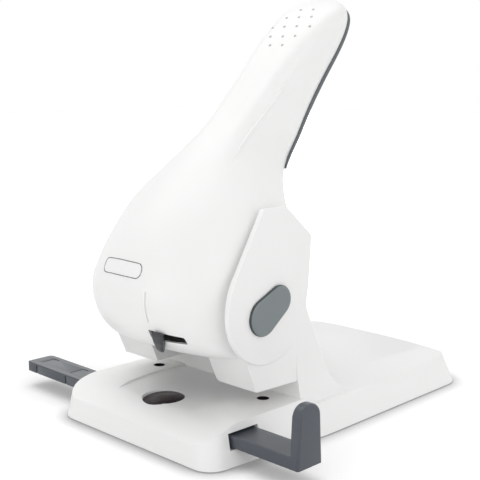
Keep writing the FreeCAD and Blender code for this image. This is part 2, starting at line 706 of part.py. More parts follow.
def section_point(station, inset, turn):
    """Point of a lever section at this angle round it."""
    front_y, front_z, rear_y, rear_z, half, widest, front_n, rear_n, taper, dish = station
    depth = math.hypot(rear_y - front_y, rear_z - front_z)
    back_y, back_z = (rear_y - front_y) / depth, (rear_z - front_z) / depth
    c, s = math.cos(turn), math.sin(turn)
    power, reach = (2 / front_n, widest * depth) if s < 0 else (2 / rear_n, (1 - widest) * depth)
    x = (half - inset) * math.copysign(abs(c) ** power, c)
    d = widest * depth + (reach - inset) * math.copysign(abs(s) ** power, s)
    x *= 1 - taper * (1 - d / depth)
    if s < 0:
        d += dish * max(0.0, 1 - (x / (0.7 * half)) ** 2) ** 2
    return V(x, front_y + back_y * d, front_z + back_z * d)


def lever_loft(inset):
    stations = lever_form[:len(lever_form) - (2 if inset else 0)]
    rings = [lever_ring(s, inset) for s in stations]
    if inset:
        first = lever_form[0]
        below = (first[0] + 6, first[1] - 3, first[2], first[3] - 3) + first[4:]
        rings.insert(0, lever_ring(below, inset))
    return Part.makeLoft(rings, True, False)


def grip_region(depth):
    """Everything behind a surface this deep in the handle's back, which comes out at the lower end."""
    path = []
    for i, (y, z) in enumerate([(s[2], s[3]) for s in handle_form]):
        before, after = handle_form[max(i - 1, 0)], handle_form[min(i + 1, len(handle_form) - 1)]
        a, b = unit(after[2] - before[2], after[3] - before[3])
        share = (0.25, 0.8)[i] if i < 2 else 1.0
        path.append(V(0, y - b * depth * share, z + a * depth * share))
    curve = Part.BSplineCurve()
    curve.interpolate(Points=path)
    corners = [path[-1], V(0, 110, 240), V(0, 140, 240), V(0, 140, path[0].z), path[0]]
    sides = [Part.LineSegment(p, q).toShape() for p, q in zip(corners, corners[1:])]
    solid = Part.Face(Part.Wire([curve.toShape()] + sides)).extrude(V(80, 0, 0))
    solid.translate(V(-40, 0, 0))
    return solid


def grip_outline(inset):
    """Outline of the handle's back, drawn inwards by inset, as a solid along the back's mean normal."""
    low, high = handle_form[0], handle_form[-1]
    a, b = unit(high[2] - low[2], high[3] - low[3])
    side = []
    for i, station in enumerate(handle_form):
        up = (station[2] - low[2]) * a + (station[3] - low[3]) * b + (inset if i == 0 else -inset)
        side.append((station[4] - inset, up))
    tip = [(0.0, side[-1][1] + 0.8)]
    points = side + tip + [(-x, up) for x, up in reversed(side)]
    place = [V(x, low[2] + up * a + 30 * b, low[3] + up * b - 30 * a) for x, up in points]
    curve = Part.BSplineCurve()
    curve.interpolate(Points=place)
    wire = Part.Wire([curve.toShape(), Part.LineSegment(place[-1], place[0]).toShape()])
    return Part.Face(wire).extrude(V(0, -60 * b, 60 * a))


def grip_insert():
    """Strip that closes the handle's back, with a pad that locates it between the shell's walls."""
    strip = grip_region(grip_thickness).cut(grip_region(0)).common(grip_outline(0))
    pad = grip_region(grip_thickness + grip_pad).cut(grip_region(grip_thickness - 0.3))
    return fuse(strip, pad.common(grip_outline(grip_rim + grip_play)))


def lever_openings():
    """Everything cut from the shell: the room for the frame and press bar, the axle, the lock's slot."""
    disc = crosswise(lever_disc_r, -60, 60, pivot_y, pivot_z)
    behind = box(-60, 60, 0, 60, 30, lever_open_z)
    below = box(-60, 60, pivot_y, 60, 30, pivot_z)
    inner = box(-lever_side_inner, lever_side_inner, 0, 60, 30, lever_open_z)
    slot = rounded([(-3.2, 61.6, 0.5), (-3.2, 56.0, 0.5), (15.7, 55.1, 0.5), (14.9, 58.8, 1.0)], on_xz(0))
    slot = in_lock_frame(prism(slot, V(0, -60, 0)))
    axle_hole = crosswise(axle_r + loose_gap + 0.1, -60, 60, pivot_y, pivot_z)
    return [behind.fuse(below).cut(disc), inner, axle_hole, slot]


def web_line():
    """Foot point of the lever bracket's web on its front face, and its unit normal towards the shell."""
    (y0, z0), (y1, z1) = web_front()
    a, b = unit(y1 - y0, z1 - z0)
    return (y0 + y1) / 2, (z0 + z1) / 2, -b, a


def bracket_bosses():
    """Two bosses from the shell's front wall back to the bracket's web."""
    y, z, ny, nz = web_line()
    inside = lever_loft(lever_wall / 2)
    bosses = []
    for x in (-bracket_screw_x, bracket_screw_x):
        boss = cylinder(4.2, V(x, y, z), V(0, ny * 40, nz * 40)).common(inside)
        bosses.append(boss.cut(cylinder(screw_r + screw_play, V(x, y - ny, z - nz), V(0, ny * 14, nz * 14))))
    return bosses


def lever_shell():
    """Moulded lever: handle, bulb-shaped cover and skirt, open behind the handle and below."""
    groove = box(17.8, 18.7, -70, -40, 65.8, 80.7).cut(lever_loft(groove_depth))
    pad_room = grip_region(grip_thickness + grip_pad + grip_play).common(grip_outline(grip_rim))
    shell = lever_loft(0).cut(lever_loft(lever_wall))
    shell = shell.cut(grip_region(grip_thickness)).cut(pad_room).cut(groove)
    return shell.cut(lever_openings()).fuse(bracket_bosses())


def web_front():
    """Front face of the bracket's web in the side view: lower and upper end."""
    a, b = unit(18, 28)
    return (-6 - b * hub_r, 100 + a * hub_r), (12 - b * 5, 128 + a * 5)


def lever_bracket():
    """Steel channel inside the lever: two arms on the axle, a web against the shell's bosses."""
    ry, rz = rest_roller()
    arm = fuse(prism(belt([(pivot_y, pivot_z, hub_r), (-6.0, 100.0, hub_r)], on_yz(arm_x)), V(sheet, 0, 0)),
               prism(rounded([(pivot_y, pivot_z, 0), (ry, rz, 0), (ry + 3, rz + 10, 4), (-2, 96, 0),
                              (pivot_y, 96, 0)], on_yz(arm_x)), V(sheet, 0, 0)),
               crosswise(roller_r - 0.6, arm_x, arm_x + sheet, ry, rz),
               prism(belt([(-6.0, 100.0, hub_r), (12, 128, 5)], on_yz(arm_x)), V(sheet, 0, 0)))
    arm = arm.cut(crosswise(axle_r + running_fit, 0, 60, pivot_y, pivot_z))
    arm = arm.cut(crosswise(roller_axle_r, 0, 60, ry, rz))
    low, high = web_front()
    a, b = unit(18, 28)
    web = prism(rounded([low + (0,), high + (0,), (high[0] + b * sheet, high[1] - a * sheet, 0),
                         (low[0] + b * sheet, low[1] - a * sheet, 0)], on_yz(-arm_x - 1)),
                V(2 * arm_x + 2, 0, 0))
    y, z, ny, nz = web_line()
    for x in (-bracket_screw_x, bracket_screw_x):
        web = web.cut(cylinder(screw_r + screw_play, V(x, y - 5 * ny, z - 5 * nz), V(0, ny * 10, nz * 10)))
    return fuse(arm, mirrored(arm), web)


def bracket_screws():
    """Screws through the web into the shell's bosses."""
    y, z, ny, nz = web_line()
    screws = []
    for x in (-bracket_screw_x, bracket_screw_x):
        seat = V(x, y - ny * sheet, z - nz * sheet)
        shank = cylinder(screw_r, seat, V(0, ny * 12, nz * 12))
        screws.append(shank.fuse(cylinder(screw_head_r, seat, V(0, -ny * screw_head, -nz * screw_head))))
    return Part.makeCompound(screws)


def cam_roller():
    """Roller between the bracket's arms that pushes the press bar down."""
    ry, rz = rest_roller()
    half = arm_x - loose_gap
    return ring(roller_r, roller_axle_r + running_fit, -half, half, ry, rz)


def roller_axle():
    """Axle of the roller, riveted over on both arms."""
    ry, rz = rest_roller()
    outer = arm_x + sheet
    head = crosswise(roller_axle_r + 1.0, outer, outer + 1.0, ry, rz)
    return fuse(crosswise(roller_axle_r, -outer - 1.0, outer + 1.0, ry, rz), head, mirrored(head))


# ---- lock ----------------------------------------------------------------------------------------
def in_lock_frame(shape):
    """Turns a shape drawn with the lock's path along X and its outside at -Y into place on the skirt."""
    turned = shape.copy()
    turned.rotate(V(0, 0, 0), V(0, 0, 1), lock_angle)
    a = math.radians(lock_angle)
    out = -lock_y * math.cos(a)
    turned.translate(V(lock_x - out * math.sin(a), lock_y + out * math.cos(a), 0))
    return turned


def lock_slider():
    """Slider in the skirt: thumb tab outside, neck through the slot, plate behind the wall."""
    w = lock_half_width
    outside = rounded([(-51.4, 61.2, 0), (-48.4, 57.0, 0), (-44.8, 53.0, 0), (-43.0, 51.2, 0),
                       (-41.2, 49.8, 0), (-41.7, 48.2, 0.5), (-45.4, 50.6, 9), (-49.6, 55.0, 9),
                       (-53.4, 60.8, 0.8)], on_yz(-w))
    shield = rounded([(-w, 62, 0), (-w, 57.5, 2), (-0.9, 47.4, 0.8), (0.9, 47.4, 0.8),
                      (w, 54.5, 2), (w, 62, 0)], on_xz(0))
    tab = prism(outside, V(2 * w, 0, 0)).common(prism(shield, V(0, -60, 0)))
    neck = box(-2.1, 2.1, -49.0, -42.6, 56.6, 58.3)
    plate = prism(rounded([(-47.0, 62.3, 0), (-44.0, 57.0, 0), (-41.9, 54.8, 0), (-40.3, 55.6, 0),
                           (-42.2, 57.6, 0), (-45.2, 62.8, 0)], on_yz(-4.0)), V(7.2, 0, 0))
    return in_lock_frame(fuse(tab, neck, plate))


# ---- paper guide -------------------------------------------------------------------------------
def guide_bar():
    """Sliding bar with format marks at one end and the upright stop at the other."""
    top = bar_bottom + bar_height
    left = rounded([(bar_left, bar_front, 0.8), (bar_right - 1, bar_front, 0), (bar_right - 1, bar_rear, 0),
                    (bar_left, bar_rear, 3.0)], on_xy(bar_bottom))
    bar = prism(left, V(0, 0, bar_height))
    for x in format_marks:
        bar = bar.cut(box(x - 0.4, x + 0.4, bar_front + 4.0, bar_rear - 3.2, top - 0.5, top + 1))
        bar = bar.cut(box(x - 0.4, x + 5.0, bar_rear - 4.0, bar_rear - 3.2, top - 0.5, top + 1))
        bar = bar.cut(box(x + 0.4, x + 1.6, bar_front - 1, bar_front + 0.5, bar_bottom - 1, top - 0.8))
    wire = rounded([(bar_front, bar_bottom, 0), (bar_rear, bar_bottom, 0), (bar_rear - 1.6, stop_top_z, 6.4),
                    (bar_front + 1.6, stop_top_z, 6.4)], on_yz(bar_right - stop_thickness))
    stop = prism(wire, V(stop_thickness, 0, 0))
    edges = [e for e in stop.Edges if e.BoundBox.XLength < 1e-6 and e.BoundBox.ZMax > bar_bottom + 1]
    return fuse(bar, stop.makeFillet(stop_edge_r, edges))


def build():
    """Writes every node; a mirrored pair is made once on the right."""
    os.makedirs("parts", exist_ok=True)
    single = {
        "base_shell": base_shell, "window_lens": window_lens, "chip_tray": chip_tray,
        "rubber_feet": rubber_feet, "die_plate": die_plate, "die_screws": die_screws,
        "bar_retainer": bar_retainer, "retainer_screws": retainer_screws, "guide_bar": guide_bar,
        "housing_screws": housing_screws, "punch_frame": punch_frame, "frame_screws": frame_screws,
        "pivot_axle": pivot_axle, "axle_clips": axle_clips, "press_bar": press_bar, "pin_clips": pin_clips,
        "lever_shell": lever_shell, "grip_insert": grip_insert, "lever_bracket": lever_bracket,
        "bracket_screws": bracket_screws, "cam_roller": cam_roller, "roller_axle": roller_axle,
        "lock_slider": lock_slider}
    paired = {
        "side_housing": side_housing_right, "oval_cap": oval_cap_right, "punch_pin": punch_pin_right,
        "guide_bush": guide_bush_right, "return_spring": return_spring_right}
    for name, make in single.items():
        save(name, make())
    for name, make in paired.items():
        piece = make()
        save(name + "_right", piece)
        save(name + "_left", mirrored(piece))


build()
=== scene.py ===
import json
import math
import bpy
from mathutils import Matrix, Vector

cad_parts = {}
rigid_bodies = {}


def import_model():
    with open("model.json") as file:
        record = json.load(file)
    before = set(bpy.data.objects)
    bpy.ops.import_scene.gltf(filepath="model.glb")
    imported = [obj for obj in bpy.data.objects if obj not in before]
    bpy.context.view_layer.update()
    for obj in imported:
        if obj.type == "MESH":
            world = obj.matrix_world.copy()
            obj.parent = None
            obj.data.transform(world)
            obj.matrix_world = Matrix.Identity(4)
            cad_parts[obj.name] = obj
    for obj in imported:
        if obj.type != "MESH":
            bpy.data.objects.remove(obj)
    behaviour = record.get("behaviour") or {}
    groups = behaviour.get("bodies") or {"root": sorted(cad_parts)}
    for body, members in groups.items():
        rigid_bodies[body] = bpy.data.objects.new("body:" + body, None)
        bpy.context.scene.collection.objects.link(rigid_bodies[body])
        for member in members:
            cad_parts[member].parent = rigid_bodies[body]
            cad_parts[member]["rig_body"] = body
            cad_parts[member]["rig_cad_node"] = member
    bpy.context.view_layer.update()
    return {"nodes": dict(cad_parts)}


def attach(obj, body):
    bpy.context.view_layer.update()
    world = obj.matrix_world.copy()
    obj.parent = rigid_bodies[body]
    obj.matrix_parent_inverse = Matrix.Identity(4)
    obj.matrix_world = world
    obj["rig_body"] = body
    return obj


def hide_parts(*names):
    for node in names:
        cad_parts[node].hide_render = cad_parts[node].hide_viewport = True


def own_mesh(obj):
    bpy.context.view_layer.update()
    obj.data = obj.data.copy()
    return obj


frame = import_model()
bpy.ops.object.select_all(action="DESELECT")

# ---- Camera --------------------------------------------------------------------------------------
# A three-quarter view from the front right, a little above the paper table, through a long lens.
eye = Vector((0.3643, -0.3445, 0.1842))
target = Vector((-0.00086, 0.0248, 0.09286))
bpy.ops.object.camera_add(location=eye, rotation=(target - eye).to_track_quat("-Z", "Y").to_euler())
camera = bpy.context.active_object
camera.name = "camera"
camera.data.lens = 73.35
camera.data.sensor_width = 36.0
camera.data.clip_start = 0.01
bpy.context.scene.camera = camera
bpy.context.scene.view_settings.view_transform = "Standard"

# ---- Studio floor --------------------------------------------------------------------------------
# White card under the punch. Seen directly its colour is darkened by how near the punch is, up to about a
# centimetre, which paints a soft contact shadow, and far away it glows until it meets the sky.


def linear(hex_colour):
    """An sRGB hex colour as linear red, green, blue and alpha."""
    channels = [int(hex_colour[i:i + 2], 16) / 255 for i in (1, 3, 5)]
    return [c / 12.92 if c <= 0.04045 else ((c + 0.055) / 1.055) ** 2.4 for c in channels] + [1.0]


def add_node(material, kind, settings=None, inputs=None, links=None):
    """One shader node: its properties, its socket values, and its sockets' links from other nodes."""
    node = material.node_tree.nodes.new(kind)
    for key, value in (settings or {}).items():
        setattr(node, key, value)
    for key, value in (inputs or {}).items():
        node.inputs[key].default_value = value
    for key, (source, socket) in (links or {}).items():
        material.node_tree.links.new(source.outputs[socket], node.inputs[key])
    return node


def new_material(name):
    """An empty node material."""
    material = bpy.data.materials.new(name)
    material.use_nodes = True
    material.node_tree.nodes.clear()
    return material


card = new_material("card_matt_white")
card_place = add_node(card, "ShaderNodeTexCoord")
card_middle = add_node(card, "ShaderNodeVectorMath", {"operation": "SUBTRACT"}, {1: (0.0, 0.045, 0.0)},
                       {0: (card_place, "Object")})
card_far = add_node(card, "ShaderNodeVectorMath", {"operation": "LENGTH"},
                    links={0: (card_middle, "Vector")})
card_glow = add_node(card, "ShaderNodeMapRange", {"interpolation_type": "SMOOTHSTEP"}, {
    "From Min": 0.12, "From Max": 0.55, "To Min": 0.17, "To Max": 0.75}, {"Value": (card_far, "Value")})
card_fibre = add_node(card, "ShaderNodeTexNoise", inputs={"Scale": 400.0, "Detail": 3.0},
                      links={"Vector": (card_place, "Object")})
card_tint = add_node(card, "ShaderNodeMix", {"data_type": "RGBA"},
                     {6: linear("#F8F8F8"), 7: linear("#FAFAFA")}, {"Factor": (card_fibre, "Fac")})
card_lit = add_node(card, "ShaderNodeBsdfDiffuse", inputs={"Roughness": 1.0},
                    links={"Color": (card_tint, 2)})
card_glowing = add_node(card, "ShaderNodeEmission", inputs={"Color": linear("#FFFFFF")},
                        links={"Strength": (card_glow, "Result")})
# Painted contact shadow: ambient occlusion darkens the card's colour near the punch, seen by the camera
# only.
card_open = add_node(card, "ShaderNodeAmbientOcclusion", {"samples": 8}, {"Distance": 0.011})
card_painted_shadow = add_node(card, "ShaderNodeMapRange", inputs={
    "From Min": 0.5, "From Max": 1.0, "To Min": 0.3, "To Max": 0.95}, links={"Value": (card_open, "AO")})
card_near = add_node(card, "ShaderNodeBsdfDiffuse", inputs={"Roughness": 1.0},
                     links={"Color": (card_painted_shadow, "Result")})
card_both = add_node(card, "ShaderNodeAddShader",
                     links={0: (card_near, "BSDF"), 1: (card_glowing, "Emission")})
card_ray = add_node(card, "ShaderNodeLightPath")
card_seen = add_node(card, "ShaderNodeMixShader", links={
    "Fac": (card_ray, "Is Camera Ray"), 1: (card_lit, "BSDF"), 2: (card_both, "Shader")})
add_node(card, "ShaderNodeOutputMaterial", links={"Surface": (card_seen, "Shader")})
bpy.ops.mesh.primitive_plane_add(size=6.0, location=(0, 0, 0))
floor = bpy.context.active_object
floor.name = "studio_floor"
floor.data.materials.append(card)

# ---- Studio light --------------------------------------------------------------------------------
# Pale sky all round, a broad lamp above, a weak one on the right, and a low one in front that
# reaches the legs and the table under the bulb.
sky = bpy.data.worlds.new("studio_sky")
bpy.context.scene.world = sky
sky.use_nodes = True
sky.node_tree.nodes.clear()
sky_light = add_node(sky, "ShaderNodeBackground", inputs={"Color": linear("#FFFFFF"), "Strength": 0.78})
sky_white = add_node(sky, "ShaderNodeBackground", inputs={"Color": linear("#FFFFFF"), "Strength": 1.0})
sky_ray = add_node(sky, "ShaderNodeLightPath")
sky_direct = add_node(sky, "ShaderNodeMath", {"operation": "MAXIMUM"}, links={
    0: (sky_ray, "Is Camera Ray"), 1: (sky_ray, "Is Transmission Ray")})
sky_shown = add_node(sky, "ShaderNodeMath", {"operation": "MAXIMUM"}, links={
    0: (sky_direct, "Value"), 1: (sky_ray, "Is Glossy Ray")})
sky_mix = add_node(sky, "ShaderNodeMixShader", links={
    "Fac": (sky_shown, "Value"), 1: (sky_light, "Background"), 2: (sky_white, "Background")})
add_node(sky, "ShaderNodeOutputWorld", links={"Surface": (sky_mix, "Shader")})

for lamp_name, lamp_place, lamp_aim, lamp_size, lamp_power in (
        ("top_softbox", (-0.45, 0.05, 1.1), (0.0, 0.03, 0.08), 1.0, 3.0),
        ("right_softbox", (1.0, -0.05, 0.4), (0.0, 0.0, 0.06), 0.7, 1.2),
        ("front_softbox", (0.1, -1.0, 0.08), (0.0, 0.0, 0.03), 0.6, 1.3)):
    lamp_turn = (Vector(lamp_aim) - Vector(lamp_place)).to_track_quat("-Z", "Y").to_euler()
    bpy.ops.object.light_add(type="AREA", location=lamp_place, rotation=lamp_turn)
    lamp = bpy.context.active_object
    lamp.name = lamp_name
    lamp.data.size = lamp_size
    lamp.data.energy = lamp_power

# ---- Base ----------------------------------------------------------------------------------------
# One injection moulding in satin white ABS: the paper table with its finger dish, the rear deck
# and the channel of the guide bar.


def moulded_plastic(name, colour, roughness, grain_mm, grain_depth, speckle=0.012):
    """Injection-moulded plastic: even colour, a fine spark-eroded grain and slight clouds of gloss."""
    material = new_material(name)
    place = add_node(material, "ShaderNodeTexCoord")
    grain = add_node(material, "ShaderNodeTexNoise", inputs={"Scale": 1000.0 / grain_mm, "Detail": 2.0},
                     links={"Vector": (place, "Object")})
    cloud = add_node(material, "ShaderNodeTexNoise", inputs={"Scale": 1000.0 / 35.0, "Detail": 3.0},
                     links={"Vector": (place, "Object")})
    tint = add_node(material, "ShaderNodeMix", {"data_type": "RGBA"}, {
        6: [max(0.0, c - speckle) for c in linear(colour)[:3]] + [1.0],
        7: [min(1.0, c + speckle) for c in linear(colour)[:3]] + [1.0]}, {"Factor": (cloud, "Fac")})
    gloss = add_node(material, "ShaderNodeMapRange", inputs={
        "To Min": roughness - 0.05, "To Max": roughness + 0.05}, links={"Value": (cloud, "Fac")})
    bump = add_node(material, "ShaderNodeBump", inputs={"Strength": grain_depth, "Distance": 0.0001},
                    links={"Height": (grain, "Fac")})
    skin = add_node(material, "ShaderNodeBsdfPrincipled", inputs={"IOR": 1.53}, links={
        "Base Color": (tint, 2), "Roughness": (gloss, "Result"), "Normal": (bump, "Normal")})
    add_node(material, "ShaderNodeOutputMaterial", links={"Surface": (skin, "BSDF")})
    return material


def select_only(piece):
    """Makes this piece the only one selected, and active."""
    bpy.ops.object.select_all(action="DESELECT")
    piece.select_set(True)
    bpy.context.view_layer.objects.active = piece


def welded_copy(node, name):
    """A copy of a node whose triangles are merged into flat faces, ready to be worked on."""
    select_only(frame["nodes"][node])
    bpy.ops.object.duplicate()
    piece = bpy.context.active_object
    piece.name = piece.data.name = name
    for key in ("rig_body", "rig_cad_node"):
        if key in piece:
            del piece[key]
    bpy.ops.object.mode_set(mode="EDIT")
    bpy.ops.mesh.select_all(action="SELECT")
    bpy.ops.mesh.remove_doubles(threshold=0.000002)
    bpy.ops.mesh.customdata_custom_splitnormals_clear()
    bpy.ops.object.mode_set(mode="OBJECT")
    return piece


def apply_modifier(piece, kind, **settings):
    """Adds one modifier with its settings and applies it."""
    select_only(piece)
    modifier = piece.modifiers.new(kind.lower(), kind)
    for key, value in settings.items():
        setattr(modifier, key, value)
    bpy.ops.object.modifier_apply(modifier=modifier.name)


def soften_edges(piece, width, segments, degrees):
    """Rounds every edge that is sharper than this angle, on faces first cleared of flat triangles."""
    select_only(piece)
    bpy.ops.object.mode_set(mode="EDIT")
    bpy.ops.mesh.select_all(action="SELECT")
    bpy.ops.mesh.dissolve_limited(angle_limit=math.radians(0.5))
    bpy.ops.object.mode_set(mode="OBJECT")
    apply_modifier(piece, "BEVEL", width=width, segments=segments, limit_method="ANGLE",
                   angle_limit=math.radians(degrees), use_clamp_overlap=True, harden_normals=False)


def smooth(piece, degrees):
    """Smooth shading, with creases left sharp."""
    select_only(piece)
    bpy.ops.object.shade_smooth_by_angle(angle=math.radians(degrees))


def finish_piece(piece, materials, body, slot, *nodes):
    """A new piece's materials and body, and the nodes it stands for. The slot is not used."""
    piece.data.materials.clear()
    for material in materials:
        piece.data.materials.append(material)
    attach(piece, body)
    if nodes:
        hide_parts(*nodes)


def dress(material, *nodes):
    """Gives CAD nodes that stay as they are their material."""
    for name in nodes:
        frame["nodes"][name].data.materials.clear()
        frame["nodes"][name].data.materials.append(material)


white_abs = moulded_plastic("abs_satin_moulded_white", "#F4F4F3", 0.34, 0.6, 0.08)
base = welded_copy("base_shell", "base_moulding")
smooth(base, 30)
finish_piece(base, [white_abs], "base", "white_abs", "base_shell")

# ---- Table window --------------------------------------------------------------------------------
# A disc of smoked polycarbonate glued under the table over the guide bar. A raised boss fills
# the hole nearly flush with the sloping table, and its polished face looks almost black.


def pick(piece, kind, wanted):
    """Edit mode on the active piece with only its wanted vertices, edges or faces selected."""
    bpy.ops.object.mode_set(mode="EDIT")
    bpy.ops.mesh.select_mode(type=kind)
    bpy.ops.mesh.select_all(action="DESELECT")
    bpy.ops.object.mode_set(mode="OBJECT")
    parts = {"VERT": piece.data.vertices, "EDGE": piece.data.edges, "FACE": piece.data.polygons}
    for part in parts[kind]:
        part.select = wanted(part)
    bpy.ops.object.mode_set(mode="EDIT")


smoked = new_material("polycarbonate_polished_smoked")
smoked_place = add_node(smoked, "ShaderNodeTexCoord")
smoked_cloud = add_node(smoked, "ShaderNodeTexNoise", inputs={"Scale": 60.0, "Detail": 2.0},
                        links={"Vector": (smoked_place, "Object")})
smoked_tint = add_node(smoked, "ShaderNodeMix", {"data_type": "RGBA"},
                       {6: linear("#38262B"), 7: linear("#2E2A2A")}, {"Factor": (smoked_cloud, "Fac")})
smoked_gloss = add_node(smoked, "ShaderNodeMapRange", inputs={"To Min": 0.14, "To Max": 0.2},
                        links={"Value": (smoked_cloud, "Fac")})
smoked_skin = add_node(smoked, "ShaderNodeBsdfPrincipled", inputs={
    "IOR": 1.4, "Transmission Weight": 0.06, "Specular IOR Level": 0.16}, links={
    "Base Color": (smoked_tint, 2), "Roughness": (smoked_gloss, "Result")})
add_node(smoked, "ShaderNodeOutputMaterial", links={"Surface": (smoked_skin, "BSDF")})
window_x, window_y, lens_top, table_lean = 0.0005, -0.0320, 0.0170, 3.6
lens_r, boss_r, boss_rise, crown_edge, crown_rise = 0.0121, 0.01085, 0.00075, 0.0002, 0.0001
lens = welded_copy("window_lens", "window_lens_boss")
bpy.ops.object.mode_set(mode="EDIT")
bpy.ops.mesh.dissolve_limited(angle_limit=math.radians(0.5))
pick(lens, "FACE", lambda face: face.normal.z > 0.9)
bpy.ops.mesh.inset(thickness=lens_r - boss_r)
bpy.ops.mesh.extrude_region_move(TRANSFORM_OT_translate={"value": (0.0, 0.0, boss_rise)})
bpy.ops.transform.rotate(value=-math.radians(table_lean), orient_axis="X",
                         center_override=(window_x, window_y, lens_top + boss_rise))
bpy.ops.mesh.inset(thickness=crown_edge)
bpy.ops.transform.translate(value=(0.0, 0.0, crown_rise))
bpy.ops.mesh.select_mode(type="VERT")
bpy.ops.object.mode_set(mode="OBJECT")
smooth(lens, 30)
finish_piece(lens, [smoked], "base", "smoked_lens", "window_lens")

# ---- Die plate -----------------------------------------------------------------------------------
# Ground steel plate screwed under the table. A thin collar of dark steel round each die hole stands up
# through the moulding; its dark colour is painted shade, so the holes look dark from above.


def metal(name, colour, low, high, scratch_mm, stretch, depth):
    """Bare metal with fine tool marks of this spacing, drawn out along X by stretch."""
    material = new_material(name)
    place = add_node(material, "ShaderNodeTexCoord")
    drawn = add_node(material, "ShaderNodeMapping", inputs={"Scale": (1.0 / stretch, 1.0, 1.0)},
                     links={"Vector": (place, "Object")})
    marks = add_node(material, "ShaderNodeTexNoise", inputs={"Scale": 1000.0 / scratch_mm, "Detail": 4.0},
                     links={"Vector": (drawn, "Vector")})
    stain = add_node(material, "ShaderNodeTexNoise", inputs={"Scale": 1000.0 / 14.0, "Detail": 3.0},
                     links={"Vector": (place, "Object")})
    tint = add_node(material, "ShaderNodeMix", {"data_type": "RGBA"}, {
        6: [c * 0.82 for c in linear(colour)[:3]] + [1.0], 7: linear(colour)}, {"Factor": (stain, "Fac")})
    rough = add_node(material, "ShaderNodeMapRange", inputs={"To Min": low, "To Max": high},
                     links={"Value": (marks, "Fac")})
    bump = add_node(material, "ShaderNodeBump", inputs={"Strength": depth, "Distance": 0.00005},
                    links={"Height": (marks, "Fac")})
    skin = add_node(material, "ShaderNodeBsdfPrincipled", inputs={"Metallic": 1.0}, links={
        "Base Color": (tint, 2), "Roughness": (rough, "Result"), "Normal": (bump, "Normal")})
    add_node(material, "ShaderNodeOutputMaterial", links={"Surface": (skin, "BSDF")})
    return material


ground_steel = metal("steel_ground_hardened", "#8E9094", 0.2, 0.38, 0.5, 12.0, 0.25)
zinc_steel = metal("steel_zinc_plated", "#B4B8BC", 0.28, 0.46, 1.2, 1.0, 0.15)
dress(ground_steel, "die_plate")
dress(zinc_steel, "die_screws")
hole_x, collar_low, collar_high = 0.040, 0.0173, 0.0198
collar_r, collar_wall = 0.0032, 0.00012
collars = []
for side in (-1, 1):
    bpy.ops.mesh.primitive_cylinder_add(
        vertices=64, radius=collar_r, depth=collar_high - collar_low, end_fill_type="NOTHING",
        location=(side * hole_x, 0.0, (collar_low + collar_high) / 2))
    collar = bpy.context.active_object
    bpy.ops.object.transform_apply(location=True, rotation=True, scale=True)
    apply_modifier(collar, "SOLIDIFY", thickness=collar_wall, offset=-1.0)
    collars.append(collar)
collars[0].select_set(True)
bpy.ops.object.join()
die_hole_shade_collars = bpy.context.active_object
die_hole_shade_collars.name = die_hole_shade_collars.data.name = "die_hole_shade_collars"
smooth(die_hole_shade_collars, 40)
# Painted shade: the collars' dark steel stands in for the shade deep inside the die holes.
hole_shade_steel = metal("steel_dark_painted_hole_shade", "#3B3D40", 0.35, 0.5, 0.5, 1.0, 0.2)
finish_piece(die_hole_shade_collars, [hole_shade_steel], "base", "hard_steel")

# ---- Chip tray and feet --------------------------------------------------------------------------
# Soft polypropylene floor that is pulled off to empty the chips, with five rubber feet pressed in.
tray_plastic = moulded_plastic("polypropylene_moulded_grey", "#56595C", 0.5, 0.9, 0.2)
dress(tray_plastic, "chip_tray")
rubber = moulded_plastic("rubber_moulded_black", "#232323", 0.78, 0.7, 0.5)
dress(rubber, "rubber_feet")

# ---- Guide bar -----------------------------------------------------------------------------------
# Sliding paper guide in fine-grained dark ABS, with sunk format marks and an upright stop. It
# runs on a zinc-plated plate screwed under the table.
dark_abs = moulded_plastic("abs_grained_dark_grey", "#494E56", 0.3, 0.5, 0.25)
bar = welded_copy("guide_bar", "guide_bar_moulding")
soften_edges(bar, 0.0005, 2, 30)
smooth(bar, 35)
finish_piece(bar, [dark_abs], "guide", "dark_abs", "guide_bar")
dress(zinc_steel, "bar_retainer", "retainer_screws")

# ---- Side housings -------------------------------------------------------------------------------
# Two white ABS mouldings screwed up from below, each a leg, a cheek and a flared foot in one. The
# leg's front stands a little steeper than its core, and its wall reaches up behind the skirt.
leg_foot_z, core_front_y, core_lean, leg_wall, leg_side = 0.0288, -0.0115, 0.795, 0.0022, 0.0504
face_front_y, face_lean, height_play, plane_play = -0.0154, 0.44, 0.0001, 0.00008
screen_low, screen_rise, screen_inner = 0.0456, 0.0034, 0.02
wall_low, wall_rise, wall_inner = 0.0417, 0.0044, 0.047
for side in ("right", "left"):
    housing = welded_copy("side_housing_" + side, "housing_moulding_" + side)
    bpy.ops.object.mode_set(mode="EDIT")
    bpy.ops.mesh.select_all(action="SELECT")
    bpy.ops.mesh.dissolve_limited(angle_limit=math.radians(0.5))
    bpy.ops.object.mode_set(mode="OBJECT")
    on_face = {}
    for vertex in housing.data.vertices:
        behind = vertex.co.y - (core_front_y - core_lean * (vertex.co.z - leg_foot_z))
        if (vertex.co.z < screen_low + height_play and abs(vertex.co.x) < leg_side
                and min(abs(behind), abs(behind - leg_wall)) < plane_play):
            on_face.setdefault(round(vertex.co.z, 5), []).append(vertex.index)
    for height, level in sorted(on_face.items()):
        pick(housing, "VERT", lambda vertex: vertex.index in level)
        forward = face_front_y - core_front_y - (face_lean - core_lean) * (height - leg_foot_z)
        bpy.ops.transform.translate(value=(0.0, forward, 0.0))
    for top, rise, inner in ((screen_low, screen_rise, screen_inner), (wall_low, wall_rise, wall_inner)):
        pick(housing, "FACE", lambda face: (face.normal.z > 0.99 and abs(face.center.z - top) < height_play
                                            and abs(face.center.x) > inner))
        bpy.ops.mesh.extrude_region_move(TRANSFORM_OT_translate={
            "value": (0.0, -face_lean * rise, rise)})
    bpy.ops.mesh.select_mode(type="VERT")
    bpy.ops.object.mode_set(mode="OBJECT")
    smooth(housing, 30)
    finish_piece(housing, [white_abs], "base", "white_abs", "side_housing_" + side)
dress(zinc_steel, "housing_screws")
